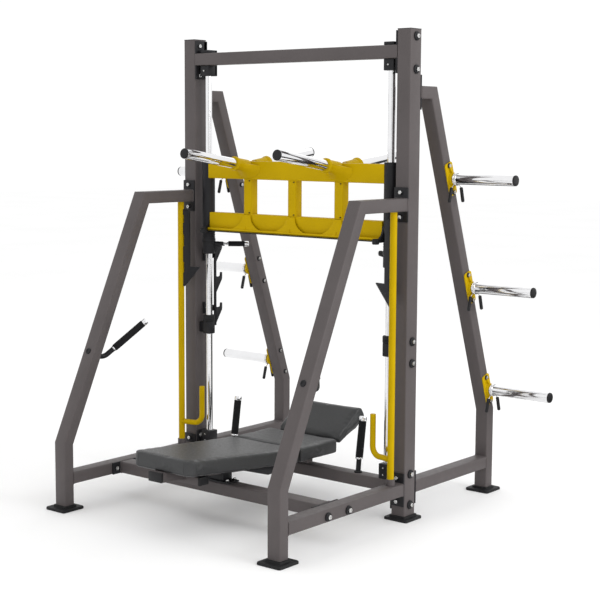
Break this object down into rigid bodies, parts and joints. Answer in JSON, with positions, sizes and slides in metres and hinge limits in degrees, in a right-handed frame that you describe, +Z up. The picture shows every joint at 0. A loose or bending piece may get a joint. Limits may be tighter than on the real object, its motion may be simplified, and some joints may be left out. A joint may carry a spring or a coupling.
{
  "type": "vertical leg press machine",
  "caption": "Plate-loaded vertical leg press with guide rods, sliding yellow carriage, swinging safety stops, storage horns and padded bench.",
  "frame": {"origin": "on the floor, under the middle of the six feet", "axes": "+Z up, +X to the machine's right as seen from its front, -Y towards the front, where the head end of the bench is"},
  "size_m": [2.116, 1.74, 2.255],
  "materials": {
    "frame_paint": "satin",
    "yellow_paint": "satin",
    "chrome": "polished",
    "black_paint": "satin",
    "black_rubber": "matte",
    "pad_vinyl": "satin"
  },
  "bodies": {
    "frame": {"upright_left": "frame_paint", "leg_front_left": "frame_paint", "leg_rear_left": "frame_paint", "rail_front_left": "frame_paint", "rail_rear_left": "frame_paint", "foot_front_left": "black_rubber", "foot_upright_left": "black_rubber", "foot_rear_left": "black_rubber", "guide_rod_left": "chrome", "rod_top_block_left": "black_paint", "lower_stop_left": "black_paint", "hook_rack_left": "black_paint", "hip_handle_left": "black_paint", "leg_handle_left": "black_paint", "storage_horn_1_left": "chrome", "storage_horn_2_left": "chrome", "storage_horn_3_left": "chrome", "upright_right": "frame_paint", "leg_front_right": "frame_paint", "leg_rear_right": "frame_paint", "rail_front_right": "frame_paint", "rail_rear_right": "frame_paint", "foot_front_right": "black_rubber", "foot_upright_right": "black_rubber", "foot_rear_right": "black_rubber", "guide_rod_right": "chrome", "rod_top_block_right": "black_paint", "lower_stop_right": "black_paint", "hook_rack_right": "black_paint", "hip_handle_right": "black_paint", "leg_handle_right": "black_paint", "storage_horn_1_right": "chrome", "storage_horn_2_right": "chrome", "storage_horn_3_right": "chrome", "top_beam": "frame_paint", "crossbeam_front": "frame_paint", "crossbeam_rear": "frame_paint", "bench_frame": "frame_paint", "pad_head": "pad_vinyl", "pad_seat": "pad_vinyl", "pad_hip": "pad_vinyl"},
    "carriage": {"carriage_frame": "yellow_paint", "footplate": "yellow_paint", "foot_rubber": "black_rubber", "guide_sleeve_left": "black_paint", "weight_horn_front_left": "chrome", "weight_horn_rear_left": "chrome", "guide_sleeve_right": "black_paint", "weight_horn_front_right": "chrome", "weight_horn_rear_right": "chrome"},
    "latch_left": {"latch_lever_left": "black_paint"},
    "latch_right": {"latch_lever_right": "black_paint"},
    "safety_left": {"safety_stop_left": "yellow_paint"},
    "safety_right": {"safety_stop_right": "yellow_paint"},
    "collar_1_left": {"spring_collar_1_left": "chrome"},
    "collar_2_left": {"spring_collar_2_left": "chrome"},
    "collar_3_left": {"spring_collar_3_left": "chrome"},
    "collar_1_right": {"spring_collar_1_right": "chrome"},
    "collar_2_right": {"spring_collar_2_right": "chrome"},
    "collar_3_right": {"spring_collar_3_right": "chrome"}
  },
  "joints": [
    {"name": "carriage_slide", "type": "slide", "parent": "frame", "child": "carriage", "axis": [0, 0, 1], "range_m": [-0.316, 0.41]},
    {"name": "latch_left_turn", "type": "hinge", "parent": "carriage", "child": "latch_left", "pos_m": [-0.57, 0.103, 1.172], "axis": [0, 0, 1], "range_deg": [-30, 22]},
    {"name": "latch_right_turn", "type": "hinge", "parent": "carriage", "child": "latch_right", "pos_m": [0.57, 0.103, 1.172], "axis": [0, 0, 1], "range_deg": [-22, 30]},
    {"name": "safety_left_swing", "type": "hinge", "parent": "frame", "child": "safety_left", "pos_m": [-0.665, -0.004, 0.1793], "axis": [0, 0, 1], "range_deg": [-90, 0]},
    {"name": "safety_right_swing", "type": "hinge", "parent": "frame", "child": "safety_right", "pos_m": [0.665, -0.004, 0.1793], "axis": [0, 0, 1], "range_deg": [0, 90]},
    {"name": "collar_1_left_slide", "type": "slide", "parent": "frame", "child": "collar_1_left", "axis": [-1, 0, 0], "range_m": [0, 0.22]},
    {"name": "collar_2_left_slide", "type": "slide", "parent": "frame", "child": "collar_2_left", "axis": [-1, 0, 0], "range_m": [0, 0.22]},
    {"name": "collar_3_left_slide", "type": "slide", "parent": "frame", "child": "collar_3_left", "axis": [-1, 0, 0], "range_m": [0, 0.22]},
    {"name": "collar_1_right_slide", "type": "slide", "parent": "frame", "child": "collar_1_right", "axis": [1, 0, 0], "range_m": [0, 0.22]},
    {"name": "collar_2_right_slide", "type": "slide", "parent": "frame", "child": "collar_2_right", "axis": [1, 0, 0], "range_m": [0, 0.22]},
    {"name": "collar_3_right_slide", "type": "slide", "parent": "frame", "child": "collar_3_right", "axis": [1, 0, 0], "range_m": [0, 0.22]}
  ]
}
